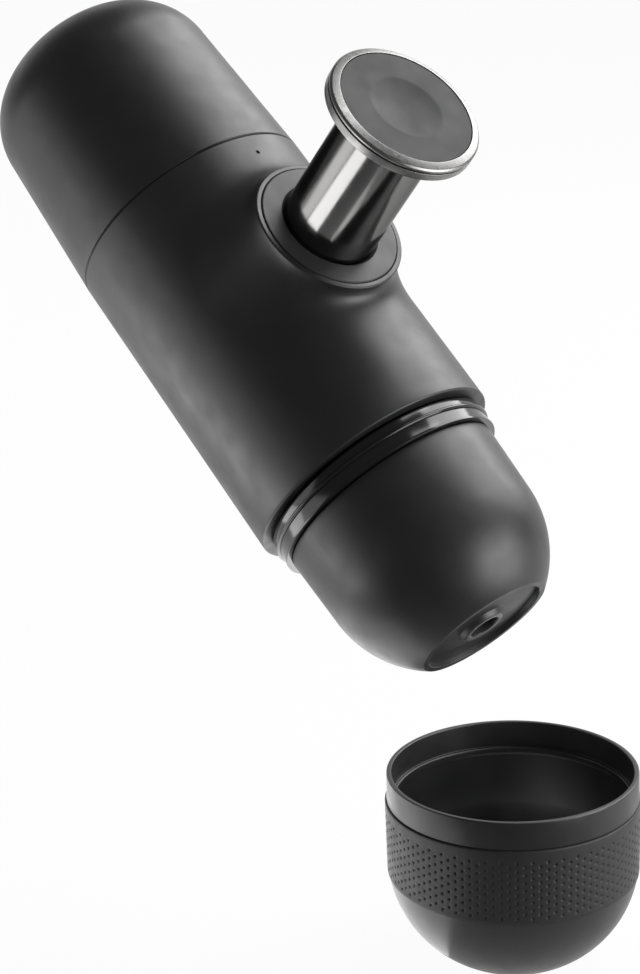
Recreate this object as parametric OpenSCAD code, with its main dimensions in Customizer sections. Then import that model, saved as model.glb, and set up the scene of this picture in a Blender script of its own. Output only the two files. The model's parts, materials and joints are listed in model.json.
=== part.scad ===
// Handheld manual espresso maker with its cup, in the pouring arrangement.
// The maker is drawn upright about its own axis: the tank above z = 0, the
// housing and the outlet below it, the piston along +x. It is then tipped into
// the pour, and the cup stands upright under the spout.

/* [Pour] */
// Tilt of the maker's axis from upright, in degrees
pour_tilt = 48.3; // [20:0.1:70]
// Turn of the maker about its own axis, in degrees
pour_roll = -1.9; // [-10:0.1:10]
// Fall from the spout's tip to the cup's rim
pour_fall = 41.4; // [25:0.1:70]
// Horizontal place of the cup's axis from the spout's tip, along x
cup_ahead = -5.5; // [-15:0.1:15]
// Horizontal place of the cup's axis from the spout's tip, along y
cup_aside = 15.8; // [-18:0.1:18]

/* [Water tank] */
// Outer radius of the maker at the seam between tank and housing
barrel_r = 30; // [28.5:0.1:33]
// Length of the tank from the seam to its closed end
tank_len = 55.2; // [48:0.1:70]
// Radius of the rounding at the tank's closed end
tank_round = 17.1; // [8:0.1:20]
// Drop in radius from the seam to the start of that rounding
tank_taper = 1.8; // [0:0.1:3]
// Wall of the tank
tank_wall = 2; // [1.4:0.1:3]
// Height of the tank's threaded mouth
tank_thread_h = 8; // [6:0.1:12]
// Width of the rim round the tank's mouth, from the thread to the outside
tank_rim_w = 4.15; // [3.8:0.05:5]
// Depth of the fine groove that marks each outer seam
seam_groove = 0.35; // [0.1:0.05:0.6]

/* [Housing] */
// Length of the housing from the seam to its lower rim
housing_len = 77.4; // [76:0.1:90]
// Growth in radius from the seam to the housing's lower rim
housing_flare = 0.3; // [0:0.1:1]
// Wall of the housing
housing_wall = 2.2; // [1.8:0.1:2.8]
// Radius of the rounding on the housing's lower rim
rim_round = 0.5; // [0.3:0.1:1]
// Radius of the small blind dimple above the boss
dimple_r = 0.5; // [0.3:0.05:0.9]
// Distance of that dimple below the tank seam
dimple_drop = 5.2; // [4:0.1:8]

/* [Boss] */
// Distance of the piston's axis below the tank seam
piston_drop = 31.6; // [30:0.1:36]
// Outer radius of the boss
boss_r = 18; // [17.6:0.1:20]
// Height of the boss's face above the barrel
boss_rise = 4.5; // [3.8:0.1:8]
// Distance that the boss's skirt keeps from the side of the barrel
skirt_inset = 3.5; // [2:0.1:6]
// Width of the lip round the cap ring let into the boss
boss_lip = 1.4; // [1:0.1:2]
// Thickness of the cap ring
cap_t = 3.2; // [2.8:0.1:4]
// Height that the cap ring stands proud of the boss
cap_proud = 0.25; // [0:0.05:0.6]
// Width of the chamfer round the cap ring's bore
cap_chamfer = 0.7; // [0.3:0.1:1.2]

/* [Piston] */
// Outer radius of the piston tube
tube_r = 11.1; // [10.8:0.1:11.6]
// Wall of the piston tube
tube_wall = 1; // [0.7:0.1:1.2]
// Travel of the piston from its stop to fully pressed
stroke = 33; // [28:0.5:33.5]
// Outer radius of the knob
knob_r = 17.7; // [16.8:0.1:20]
// Height of the knob's rim above its lower edge
knob_t = 3.7; // [3.4:0.1:5]
// Radius of the disc let into the knob
insert_r = 15.6; // [14:0.1:16]
// Thickness of that disc
insert_t = 1.4; // [1.2:0.1:1.6]
// Radius of the finger dish in the disc
dish_r = 8.6; // [5:0.1:10]
// Depth of the finger dish
dish_depth = 0.8; // [0.3:0.05:0.9]
// Height left between the pressed knob and the cap ring
knob_gap = 1.4; // [0.6:0.1:3]
// Depth of the knob's hub inside the tube
hub_depth = 3; // [2.5:0.1:5]

/* [Pump] */
// Bore radius of the pump barrel
pump_bore_r = 5; // [4.5:0.1:5.4]
// Wall of the pump barrel
pump_wall = 1.6; // [1.2:0.1:1.8]
// Distance of the valve column's middle from the outside of the housing
column_inset = 13; // [12:0.1:14]
// Outer radius of the valve column
column_r = 6.4; // [5.8:0.1:6.6]
// Radius of the water ways
port_r = 1.8; // [1.2:0.1:1.9]
// Radius of the two valve chambers
chamber_r = 3.6; // [3.4:0.1:4]
// Length of each valve chamber
chamber_len = 8; // [7:0.1:9]
// Opening travel of each check valve
valve_lift = 1.2; // [0.8:0.1:1.6]
// Radius of the plunger rod
rod_r = 4; // [3.4:0.1:4.2]
// Length of the plunger's head
plunger_head = 5; // [4:0.1:7]
// Wire of the return spring
spring_wire = 1.1; // [0.8:0.1:1.2]
// Turns of the return spring
spring_turns = 14; // [8:1:16]
// Wire of the two valve springs
valve_wire = 0.5; // [0.3:0.05:0.5]
// Turns of each valve spring
valve_turns = 4; // [3:1:5]

/* [Brew group] */
// Wall of the housing round its threaded socket
socket_wall = 3.4; // [2.8:0.1:3.6]
// Depth of that socket above the housing's rim
socket_depth = 19.4; // [19:0.1:22]
// Thickness of the group head
group_t = 5; // [4.5:0.1:6]
// Width of the group head's ring round the shower screen
shower_ring = 6.5; // [6.2:0.1:8]
// Thickness of the perforated screens
screen_t = 0.6; // [0.4:0.1:1]
// Radius of the holes in the screens
screen_hole_r = 0.55; // [0.3:0.05:0.7]
// Spacing of the holes in the screens
screen_pitch = 3; // [2.6:0.1:5]
// Thickness of the group gasket
group_gasket_t = 1.8; // [1.4:0.1:2.4]
// Play of the filter basket inside the head's threaded ring
basket_play = 0.65; // [0.5:0.05:1.2]
// Wall of the filter basket
basket_wall = 0.6; // [0.4:0.1:0.8]
// Depth of the filter basket
basket_depth = 19; // [14:0.1:22]

/* [Outlet head] */
// Wall of the head's threaded ring, from its thread to its bore
neck_wall = 5.4; // [4.8:0.1:6]
// Step in radius from the housing's rim to the glossy neck
neck_step = 2.3; // [1.8:0.1:2.8]
// Height of the neck from the housing's rim to the head
neck_h = 6.2; // [5:0.1:8]
// Height that the neck's bead stands proud
bead_proud = 0.6; // [0.45:0.05:0.9]
// Thickness of the thin flange at the neck's lower edge
flange_t = 0.6; // [0.4:0.05:1]
// Height that this flange stands proud of the neck
flange_proud = 0.2; // [0.15:0.05:0.5]
// Step in radius from this flange to the top of the head
head_step = 1.35; // [0.5:0.05:2]
// Length of the head from its top edge to its end
head_len = 36.9; // [34:0.1:42]
// Length of the head's straight upper part
head_straight = 17; // [14:0.1:19]
// Drop in radius over that straight part
head_taper = 0.6; // [0.3:0.1:3]
// Radius of the head's flat end
head_end_r = 16.2; // [14:0.1:18]
// Radius of the recess in the end face
recess_r = 14.5; // [12:0.1:15]
// Depth of the recess in the end face
recess_depth = 1.2; // [0.6:0.1:1.6]
// Wall of the outlet head
head_wall = 1.8; // [1.4:0.1:2.2]
// Outer radius of the spout
spout_r = 5; // [4.2:0.1:6]
// Bore radius of the spout
spout_bore_r = 3.6; // [2.5:0.1:3.8]
// Reach of the neck ring's spigot into the head
spigot_h = 6; // [4:0.1:8]
// Reach of the spout inside the head
spout_in = 5; // [4:0.1:6]

/* [Cup] */
// Outer radius of the cup's rim
cup_rim_r = 29.3; // [29.2:0.1:31]
// Height of the cup
cup_h = 46.1; // [46:0.1:56]
// Height of the smooth band under the rim
cup_band_h = 6.6; // [4:0.1:8]
// Height of the grip sleeve
grip_h = 18.4; // [14:0.1:20]
// Outer radius of the grip sleeve
grip_r = 29.8; // [29.6:0.1:32]
// Drop in radius down the grip sleeve
grip_taper = 0.3; // [0:0.05:0.4]
// Thickness of the grip sleeve
grip_t = 0.9; // [0.6:0.1:1]
// Radius of the cup's rounded bowl
bowl_round = 27.5; // [26:0.1:28]
// Radius of the cup's flat foot
foot_r = 13.4; // [10:0.1:16]
// Wall of the cup
cup_wall = 1.3; // [1:0.05:1.4]
// Depth of the ledge inside the mouth
ledge_depth = 9; // [8.8:0.1:11]

/* [Fits] */
// Radial play of the piston tube and the plunger in their guides
slide_fit = 0.05; // [0.03:0.01:0.09]
// Radial play of the threaded pieces and of the basket
thread_fit = 0.25; // [0.2:0.05:0.35]
// Play round pieces that are pressed or dropped into a seat
seat_fit = 0.05; // [0.02:0.01:0.1]
// Thickness of the seals at the tank and at the head
seal_t = 1.6; // [1.2:0.1:2]

/* [Hidden] */
$fn = 96;
eps = 0.01;

plastic = "#39393b";
gloss = "#232325";
rubber = "#1c1c1d";
metal = "#8b8b8e";
steel = "#c0c2c4";

// Depths below the tank seam, down the maker's axis
deck_seat = seal_t + 3.2;
deck_t = 3.2;
group_top = housing_len - socket_depth;
group_low = group_top + group_t;
basket_top = group_low + group_gasket_t;
rim_t = 1;
seal_top = basket_top + rim_t;
neck_top = seal_top + seal_t * 0.75;
basket_low = basket_top + basket_depth;
neck_start = housing_len + 0.6;
head_top = neck_start + neck_h - 0.2;
head_end = head_top + head_len;
spout_tip = head_end - 0.5;

// Radii and heights that follow from the pieces that they fit
housing_end_r = barrel_r + housing_flare;
boss_h = barrel_r + boss_rise;
skirt_r = barrel_r - skirt_inset;
cap_r = boss_r - boss_lip;
socket_r = housing_end_r - socket_wall;
shower_r = socket_r - shower_ring;
neck_r = housing_end_r - neck_step;
flange_r = neck_r + flange_proud;
head_r = flange_r - head_step;
tube_in = tube_r - tube_wall;
barrel_out = pump_bore_r + pump_wall;
thread_r = socket_r - thread_fit;
neck_in_r = thread_r - neck_wall;
basket_r = neck_in_r - basket_play - basket_wall;
column_x = barrel_r - column_inset;
deck_r = barrel_r - housing_wall - seat_fit;
tank_neck_r = barrel_r - tank_rim_w - thread_fit;
tank_neck_wall = 2;
rim_r = socket_r - 1.3;
spigot_r = head_r - head_wall - 0.6;
collar_r = tube_r + 2;

// Places along the piston's axis, from the maker's axis
cap_top = boss_h + cap_proud;
cap_low = cap_top - cap_t;
ring_t = 3;
tube_start = cap_low - ring_t;
knob_low = cap_top + knob_gap + stroke;
hub_low = knob_low - hub_depth;
plunger_tip = stroke - column_x + port_r + 1.2;
pump_end = plunger_tip + plunger_head + 3;
spring_seat = -column_x + column_r + 3;
bore_start = -column_x - port_r - 0.6;

// Outer radius of the housing at a depth below the seam
function barrel_at(d) = barrel_r - (barrel_r - housing_end_r) * d / housing_len;

// The palm presses here, on the barrel straight behind the piston
palm_r = barrel_at(piston_drop);

// Tips the upright maker into the pour, with the palm point at the origin
module pour() {
    rotate([0, -pour_tilt, 0]) rotate([0, 0, pour_roll])
        translate([palm_r, 0, piston_drop]) children();
}

// The spout's tip after the same turns
tip_up = piston_drop - spout_tip;
spout_at = [
    palm_r * cos(pour_roll) * cos(pour_tilt) - tip_up * sin(pour_tilt),
    palm_r * sin(pour_roll),
    palm_r * cos(pour_roll) * sin(pour_tilt) + tip_up * cos(pour_tilt)
];

// Puts the cup's foot on the table under the spout
module table() {
    translate(spout_at + [cup_ahead, cup_aside, -pour_fall - cup_h]) children();
}

// Turns a piece drawn about +z onto the piston's axis
module piston_axis() {
    translate([0, 0, -piston_drop]) rotate([0, 90, 0]) children();
}

// A ring between two depths below the seam
module ring(r_out, r_in, d_top, d_low) {
    translate([0, 0, -d_low]) difference() {
        cylinder(r = r_out, h = d_low - d_top);
        translate([0, 0, -1]) cylinder(r = r_in, h = d_low - d_top + 2);
    }
}

// A straight hole between two depths, at x
module down_hole(x, r, d_top, d_low) {
    translate([x, 0, -d_low]) cylinder(r = r, h = d_low - d_top, $fn = 48);
}

// Points of an arc about [cx, cy]
function arc(cx, cy, r, a0, a1, steps) =
    [for (i = [0:steps]) let (a = a0 + (a1 - a0) * i / steps) [cx + r * cos(a), cy + r * sin(a)]];

// One unbroken wire wound about +z from z = 0 to z = length
module coil(mean_r, wire, length, turns) {
    sides = 6;
    rings = 8 * turns;
    rise = (length - wire) / rings;
    points = [for (i = [0:rings]) for (k = [0:sides - 1])
        let (a = 360 * i / 8, b = 360 * k / sides, r = mean_r + wire / 2 * cos(b))
        [r * cos(a), r * sin(a), wire / 2 + rise * i + wire / 2 * sin(b)]];
    walls = [for (i = [0:rings - 1]) for (k = [0:sides - 1])
        let (n = (k + 1) % sides, a = i * sides + k, b = i * sides + n)
        for (half = [0, 1]) half == 0 ? [a, a + sides, b] : [b, a + sides, b + sides]];
    start = [for (k = [1:sides - 2]) [0, k, k + 1]];
    last = rings * sides;
    ends = [for (k = [1:sides - 2]) [last, last + k + 1, last + k]];
    gap = min([for (i = [0:rings - 8]) let (p = points[i * sides], q = points[(i + 8) * sides])
        norm(p - q) - wire]);
    echo(str("least gap between turns of ", wire, " wire: ", gap));
    polyhedron(points, concat(walls, start, ends), convexity = 10);
}

// Holes on a triangular grid inside a radius
module hole_field(r_field, pitch, r_hole, h) {
    n = ceil(r_field / pitch);
    row = pitch * sin(60);
    for (j = [-n:n]) for (i = [-n:n])
        let (x = (i + (j % 2 == 0 ? 0 : 0.5)) * pitch, y = j * row)
            if (norm([x, y]) <= r_field) translate([x, y, 0]) cylinder(r = r_hole, h = h, $fn = 16);
}

// Water tank: a tapered can with a rounded closed end and a threaded mouth
module water_tank() {
    shoulder = tank_len - tank_round;
    r_top = barrel_r - tank_taper;
    inner_round = tank_round - tank_wall;
    color(plastic) pour() rotate_extrude() difference() {
        polygon(concat(
            [[0, 0], [barrel_r - seam_groove, 0], [barrel_r, seam_groove]],
            arc(r_top - tank_round, shoulder, tank_round, 0, 90, 24),
            [[0, tank_len]]));
        polygon(concat(
            [[0, -1], [tank_neck_r + thread_fit, -1], [tank_neck_r + thread_fit, tank_thread_h + 1],
             [barrel_r - tank_wall - 1, tank_thread_h + 3]],
            arc(r_top - tank_round, shoulder, inner_round, 0, 90, 24),
            [[0, tank_len - tank_wall]]));
    }
}

// Flat ring that the tank's mouth presses on
module tank_gasket() {
    color(rubber) pour() ring(deck_r - seat_fit, tank_neck_r + thread_fit, 0, seal_t);
}

// Blend between boss and barrel: in each direction about the piston's axis a
// curve leaves the boss's wall upright and meets the barrel along its slope
module boss_skirt() {
    around = 72;
    steps = 8;
    wall_top = boss_h - 0.6;
    function run_h(a) =
        sqrt(pow(barrel_at(piston_drop - skirt_r * cos(a)), 2) - pow(skirt_r * sin(a), 2)) - 0.3;
    function run_slope(a) = skirt_r * pow(sin(a), 2) / run_h(a);
    function bend(a, t) =
        let (low = run_h(a), mid = min(low + run_slope(a) * (skirt_r - boss_r), wall_top - 1))
        [pow(1 - t, 2) * boss_r + 2 * t * (1 - t) * boss_r + t * t * skirt_r,
         pow(1 - t, 2) * wall_top + 2 * t * (1 - t) * mid + t * t * low];
    skin = [for (j = [0:steps]) for (i = [0:around - 1])
        let (a = 360 * i / around, p = bend(a, j / steps))
        [p[1], p[0] * sin(a), p[0] * cos(a) - piston_drop]];
    top = len(skin);
    points = concat(skin, [[wall_top, 0, -piston_drop], [barrel_r / 4, 0, -piston_drop]]);
    faces = concat(
        [for (j = [0:steps - 1]) for (i = [0:around - 1])
            let (n = (i + 1) % around, a = j * around + i, b = j * around + n)
            for (half = [0, 1]) half == 0 ? [a, a + around, b] : [b, a + around, b + around]],
        [for (i = [0:around - 1]) [top, i, (i + 1) % around]],
        [for (i = [0:around - 1]) [top + 1, steps * around + (i + 1) % around, steps * around + i]]);
    polyhedron(points, faces, convexity = 4);
}

// Main housing: the barrel with its boss, hollow, with a socket for the head
module housing_shell() {
    shelf = group_top - 2;
    cavity_low = barrel_at(shelf) - housing_wall;
    ledge_r = deck_r - 1.6;
    color(plastic) pour() difference() {
        union() {
            rotate_extrude() polygon(concat(
                [[0, 0], [barrel_r - seam_groove, 0], [barrel_r, -seam_groove]],
                arc(housing_end_r - rim_round, rim_round - housing_len, rim_round, 0, -90, 8),
                [[0, -housing_len]]));
            boss_skirt();
            piston_axis() rotate_extrude() polygon(concat(
                [[0, boss_h - 6], [boss_r, boss_h - 6]],
                arc(boss_r - 0.5, boss_h - 0.5, 0.5, 0, 90, 5), [[0, boss_h]]));
        }
        rotate_extrude() polygon([
            [0, 1], [deck_r + seat_fit, 1], [deck_r + seat_fit, -deck_seat],
            [ledge_r, -deck_seat], [ledge_r, -deck_seat - 2],
            [barrel_at(deck_seat + 4) - housing_wall, -deck_seat - 4],
            [cavity_low, -shelf + 2], [socket_r - 1.2, -shelf], [socket_r - 1.2, -group_top],
            [socket_r, -group_top], [socket_r, -housing_len - 1], [0, -housing_len - 1]]);
        piston_axis() cylinder(r = collar_r + 0.3, h = cap_top);
        piston_axis() translate([0, 0, cap_low]) cylinder(r = cap_r + seat_fit, h = cap_t + 1);
        translate([barrel_at(dimple_drop), 0, -dimple_drop]) sphere(r = dimple_r, $fn = 24);
    }
}

// Deck that closes the housing's top and carries the neck for the tank
module inlet_deck() {
    color(gloss) pour() difference() {
        union() {
            ring(deck_r, 0, seal_t, deck_seat);
            translate([0, 0, -seal_t]) cylinder(r = tank_neck_r, h = seal_t + tank_thread_h);
        }
        translate([0, 0, -seal_t - eps])
            cylinder(r = tank_neck_r - tank_neck_wall, h = seal_t + tank_thread_h + 1);
        down_hole(-column_x, column_r - 0.4 + seat_fit, 0, seal_t + screen_t);
        down_hole(-column_x, port_r, 0, deck_seat + 1);
        down_hole(-column_x, column_r - 2, 0, seal_t + screen_t + 1);
    }
}

// Small perforated disc over the water inlet
module inlet_strainer() {
    color(steel) pour() translate([-column_x, 0, -seal_t - screen_t]) difference() {
        cylinder(r = column_r - 0.4, h = screen_t);
        translate([0, 0, -1]) hole_field(column_r - 2.6, 1.6, 0.4, screen_t + 2);
    }
}

// Ring let into the boss, with a chamfered bore round the tube
module boss_cap_ring() {
    bore = tube_r + slide_fit;
    color(plastic) pour() piston_axis() rotate_extrude() difference() {
        polygon([[bore, cap_low], [cap_r, cap_low], [cap_r, cap_top - 0.3], [cap_r - 0.3, cap_top],
            [bore + cap_chamfer, cap_top], [bore, cap_top - cap_chamfer]]);
        translate([bore - 1, cap_low + 0.8]) square([2.4, 1.3]);
    }
}

// Lip seal that wipes the tube, in the groove of the cap ring
module piston_wiper() {
    color(rubber) pour() piston_axis() translate([0, 0, cap_low + 0.8 + seat_fit]) difference() {
        cylinder(r = tube_r + slide_fit + 1.4 - seat_fit, h = 1.3 - 2 * seat_fit);
        translate([0, 0, -1]) cylinder(r = tube_r + slide_fit, h = 4);
    }
}

// Depth of a valve's seat below the tank seam
inlet_seat = deck_seat + 5;
outlet_seat = piston_drop + pump_bore_r + 4;

// Chamber, seat and way of one check valve, cut from the column
module valve_ways(seat) {
    down_hole(-column_x, chamber_r, seat, seat + chamber_len);
}

// Pump barrel and valve column, clamped between the deck and the group head
module pump_block() {
    color(gloss) pour() difference() {
        union() {
            down_hole(-column_x, column_r, deck_seat, group_top);
            piston_axis() translate([0, 0, -column_x]) cylinder(r = barrel_out, h = column_x + pump_end);
            piston_axis() translate([0, 0, spring_seat - 2]) cylinder(r = tube_r - 0.6, h = 2);
        }
        down_hole(-column_x, port_r, deck_seat - 1, group_top + 1);
        valve_ways(inlet_seat);
        valve_ways(outlet_seat);
        piston_axis() translate([0, 0, bore_start])
            cylinder(r = pump_bore_r, h = pump_end + 1 - bore_start);
    }
}

// Coil that pushes the knob out again
module return_spring() {
    color(steel) pour() piston_axis() translate([0, 0, spring_seat])
        coil((barrel_out + tube_in) / 2, spring_wire, hub_low - spring_seat, spring_turns);
}

// One check valve: a flat head against its seat, with a stem in the spring
valve_head_t = 1.4;
module check_valve(seat) {
    color(rubber) pour() union() {
        down_hole(-column_x, chamber_r - 0.4, seat, seat + valve_head_t);
        down_hole(-column_x, 1, seat + valve_head_t - eps, seat + chamber_len - valve_lift - 1);
    }
}

// Spring of one check valve
module check_spring(seat) {
    length = chamber_len - valve_head_t;
    color(steel) pour() translate([-column_x, 0, -seat - chamber_len])
        coil((chamber_r + 1.3) / 2, valve_wire, length, valve_turns);
}

module inlet_valve() { check_valve(inlet_seat); }
module inlet_valve_spring() { check_spring(inlet_seat); }
module outlet_valve() { check_valve(outlet_seat); }
module outlet_valve_spring() { check_spring(outlet_seat); }

// Disc that spreads the water over the coffee, with a post for the screw
screw_r = 1.2;
screw_top = group_top + 2.2;
module group_head() {
    chamber = shower_r + seat_fit;
    color(gloss) pour() difference() {
        ring(socket_r - seat_fit, 0, group_top, group_low);
        down_hole(0, chamber, group_low - screen_t, group_low + 1);
        difference() {
            down_hole(0, chamber - 1.2, group_low - screen_t - 1.6, group_low + 1);
            down_hole(0, 3, group_top + 2, group_low - screen_t);
        }
        down_hole(0, screw_r + seat_fit, screw_top - 0.5, group_low + 1);
        down_hole(-column_x, port_r, group_top - 1, group_low);
    }
}

// Perforated disc under the group head
module shower_screen() {
    color(steel) pour() translate([0, 0, -group_low]) difference() {
        cylinder(r = shower_r, h = screen_t);
        translate([0, 0, -1]) difference() {
            hole_field(shower_r - 2.4, screen_pitch, screen_hole_r, screen_t + 2);
            cylinder(r = 3.6, h = screen_t + 2);
        }
        translate([0, 0, -1]) cylinder(r = screw_r + 0.2, h = screen_t + 2);
    }
}

// Screw that holds the shower screen
module shower_screw() {
    color(steel) pour() difference() {
        union() {
            down_hole(0, screw_r, screw_top, group_low + 0.5);
            down_hole(0, 2.6, group_low, group_low + 1);
        }
        translate([0, 0, -group_low - 0.7]) cube([3.4, 0.6, 0.7], center = true);
    }
}

// Rubber ring between the group head and the basket's rim
module group_gasket() {
    color(rubber) pour() ring(socket_r - 0.6, shower_r + 0.4, group_low, basket_top);
}

// Rod that follows the knob and drives the water
module plunger_rod() {
    color(steel) pour() piston_axis() difference() {
        union() {
            translate([0, 0, plunger_tip]) cylinder(r = pump_bore_r - slide_fit, h = plunger_head);
            translate([0, 0, plunger_tip]) cylinder(r = rod_r, h = hub_low + 2 - plunger_tip);
        }
        translate([0, 0, plunger_tip + 1.4]) rotate_extrude()
            translate([pump_bore_r - slide_fit - 1.2, 0]) square([4, 1.8]);
    }
}

// Ring in the groove of the plunger's head
module plunger_seal() {
    color(rubber) pour() piston_axis() translate([0, 0, plunger_tip + 1.4 + seat_fit])
        difference() {
            cylinder(r = pump_bore_r - slide_fit, h = 1.8 - 2 * seat_fit);
            translate([0, 0, -1]) cylinder(r = pump_bore_r - slide_fit - 1.2 + seat_fit, h = 4);
        }
}

// Polished tube between the knob and the boss
module piston_tube() {
    color(metal) pour() piston_axis() translate([0, 0, tube_start]) difference() {
        cylinder(r = tube_r, h = knob_low - tube_start);
        translate([0, 0, -1]) cylinder(r = tube_in, h = knob_low - tube_start + 2);
    }
}

// Ring on the tube's inner end, which stops it under the cap ring
module guide_ring() {
    color(rubber) pour() piston_axis() translate([0, 0, tube_start]) difference() {
        cylinder(r = collar_r, h = ring_t);
        translate([0, 0, -1]) cylinder(r = tube_r, h = ring_t + 2);
    }
}

// Wide metal knob with a groove below its upper lip and a hub in the tube
module knob() {
    top = knob_low + knob_t;
    lip = 1.5;
    color(metal) pour() piston_axis() difference() {
        rotate_extrude() polygon(concat(
            [[0, hub_low], [tube_in - seat_fit, hub_low], [tube_in - seat_fit, knob_low],
             [knob_r - 0.2, knob_low], [knob_r, knob_low + 0.2], [knob_r, top - lip - 0.35],
             [knob_r - 0.4, top - lip - 0.25], [knob_r - 0.4, top - lip]],
            arc(knob_r - 0.75, top - 0.75, 0.75, 0, 90, 6), [[0, top]]));
        translate([0, 0, top - insert_t]) cylinder(r = insert_r + seat_fit, h = 5);
        translate([0, 0, hub_low - 1]) cylinder(r = rod_r + slide_fit, h = 3 + seat_fit);
    }
}

// Disc let into the knob, with a shallow dish for the palm
module knob_insert() {
    top = knob_low + knob_t - 0.15;
    dish = (dish_r * dish_r + dish_depth * dish_depth) / (2 * dish_depth);
    color(gloss) pour() piston_axis() difference() {
        translate([0, 0, knob_low + knob_t - insert_t]) cylinder(r = insert_r, h = insert_t - 0.15);
        translate([0, 0, top - dish_depth + dish]) sphere(r = dish);
    }
}

// Flat ring between the basket's rim and the head
module head_seal() {
    color(rubber) pour() ring(rim_r, basket_r + basket_wall + thread_fit, seal_top, neck_top);
}

// Threaded ring of the head, with the glossy neck and its bead for the cup
module neck_ring() {
    bead = neck_start + neck_h * 0.4;
    bead_half = 0.45;
    flange = head_top - flange_t;
    color(gloss) pour() rotate_extrude() polygon(concat(
        [[neck_in_r, -neck_top], [thread_r, -neck_top], [thread_r, -neck_start],
         [neck_r - 0.3, -neck_start], [neck_r, -neck_start - 0.3], [neck_r, -bead + bead_half]],
        arc(neck_r + bead_proud - bead_half, -bead, bead_half, 90, -90, 8),
        [[neck_r, -bead - bead_half], [neck_r, -flange], [flange_r - 0.1, -flange],
         [flange_r, -flange - 0.1], [flange_r, -head_top + 0.1], [flange_r - 0.1, -head_top],
         [spigot_r, -head_top], [spigot_r, -head_top - spigot_h],
         [neck_in_r, -head_top - spigot_h]]));
}

// Outlet head: a tapered dome with a raised rim round its recessed end
module outlet_head() {
    r_mid = head_r - head_taper;
    mid = head_top + head_straight;
    run = head_len - head_straight;
    drop = r_mid - head_end_r;
    slope = atan(head_taper / head_straight);
    chord = norm([run, drop]);
    turn = 2 * (atan(drop / run) - slope);
    round_r = chord / (2 * sin(turn / 2));
    cx = r_mid - round_r * cos(slope);
    cy = mid + round_r * sin(-slope);
    start = slope;
    seat = spigot_r + seat_fit;
    inner_r = round_r - head_wall;
    face = head_end - recess_depth;
    color(plastic) pour() mirror([0, 0, 1]) rotate_extrude() difference() {
        polygon(concat(
            [[0, head_top], [head_r - 0.4, head_top], [head_r, head_top + 0.3]],
            arc(cx, cy, round_r, start, start + turn, 20),
            [[recess_r + 0.3, head_end], [recess_r, face], [0, face]]));
        polygon(concat(
            [[0, head_top - 1], [seat, head_top - 1], [seat, head_top + spigot_h]],
            [for (p = arc(cx, cy, inner_r, start, start + turn, 20))
                if (p[1] > head_top + spigot_h + 1 && p[1] < face - 2 * head_wall) p],
            [[spout_r + 6, face - head_wall], [0, face - head_wall]]));
        square([spout_r + seat_fit, head_end + 1]);
    }
}

// Spout tube with a flange inside the head
module spout_nozzle() {
    flange = head_end - recess_depth - head_wall;
    color(gloss) pour() difference() {
        union() {
            ring(spout_r, 0, flange - spout_in, spout_tip);
            ring(spout_r + 3, 0, flange - 1.2, flange);
        }
        down_hole(0, spout_bore_r, flange - spout_in - 1, spout_tip + 1);
    }
}

// Strainer nut screwed on the spout's inner end
module spout_nut() {
    flange = head_end - recess_depth - head_wall;
    color(steel) pour() translate([0, 0, -flange + 1.2]) difference() {
        cylinder(r = spout_r + 2.2, h = 2.4, $fn = 6);
        translate([0, 0, -1]) cylinder(r = spout_r + seat_fit, h = 5);
    }
}

// Basket for the ground coffee
module filter_basket() {
    out_r = basket_r + basket_wall;
    color(steel) pour() rotate_extrude() polygon([
        [basket_r, -basket_top], [rim_r, -basket_top], [rim_r, -seal_top], [out_r, -seal_top],
        [out_r, -basket_low], [basket_r - 1.6, -basket_low], [basket_r - 1.6, -basket_low + basket_wall],
        [basket_r, -basket_low + basket_wall]]);
}

// Perforated floor of the basket
module basket_screen() {
    color(steel) pour() translate([0, 0, -basket_low + basket_wall]) difference() {
        cylinder(r = basket_r - seat_fit, h = screen_t);
        translate([0, 0, -1]) hole_field(basket_r - 2.6, screen_pitch, screen_hole_r, screen_t + 2);
    }
}

// Cup: a round bowl on a small flat foot, with a recess for the grip
module cup_shell() {
    bowl_cy = sqrt(pow(bowl_round, 2) - pow(foot_r - 2, 2));
    grip_low = cup_h - cup_band_h - grip_h;
    in_r = bowl_round - cup_wall;
    seat_r = grip_r - grip_t;
    low_angle = asin((grip_low - bowl_cy) / bowl_round);
    foot_angle = -asin(bowl_cy / bowl_round);
    floor_angle = -asin((bowl_cy - cup_wall) / in_r);
    color(plastic) table() rotate_extrude() difference() {
        polygon(concat(
            [[0, 0]], arc(2, bowl_cy, bowl_round, foot_angle, low_angle, 24),
            [[seat_r, grip_low], [seat_r, cup_h - cup_band_h],
             [cup_rim_r + 0.1, cup_h - cup_band_h], [cup_rim_r, cup_h - 0.5], [cup_rim_r - 0.4, cup_h],
             [0, cup_h]]));
        polygon(concat(
            [[0, cup_wall]], arc(2, bowl_cy, in_r, floor_angle, 0, 24),
            [[seat_r - cup_wall + 0.1, cup_h - ledge_depth],
             [cup_rim_r - cup_wall + 0.1, cup_h - ledge_depth],
             [cup_rim_r - cup_wall + 0.1, cup_h + 1], [0, cup_h + 1]]));
    }
}

// Rubber sleeve round the cup
module cup_grip() {
    grip_low = cup_h - cup_band_h - grip_h;
    low_t = grip_t - grip_taper;
    color(rubber) table() translate([0, 0, grip_low]) rotate_extrude()
        translate([grip_r - grip_t, 0]) polygon([
            [0, 0.1], [low_t - 0.4, 0.1], [low_t, 0.7], [grip_t, grip_h - 0.6],
            [grip_t - 0.3, grip_h - 0.1], [0, grip_h - 0.1]]);
}

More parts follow.
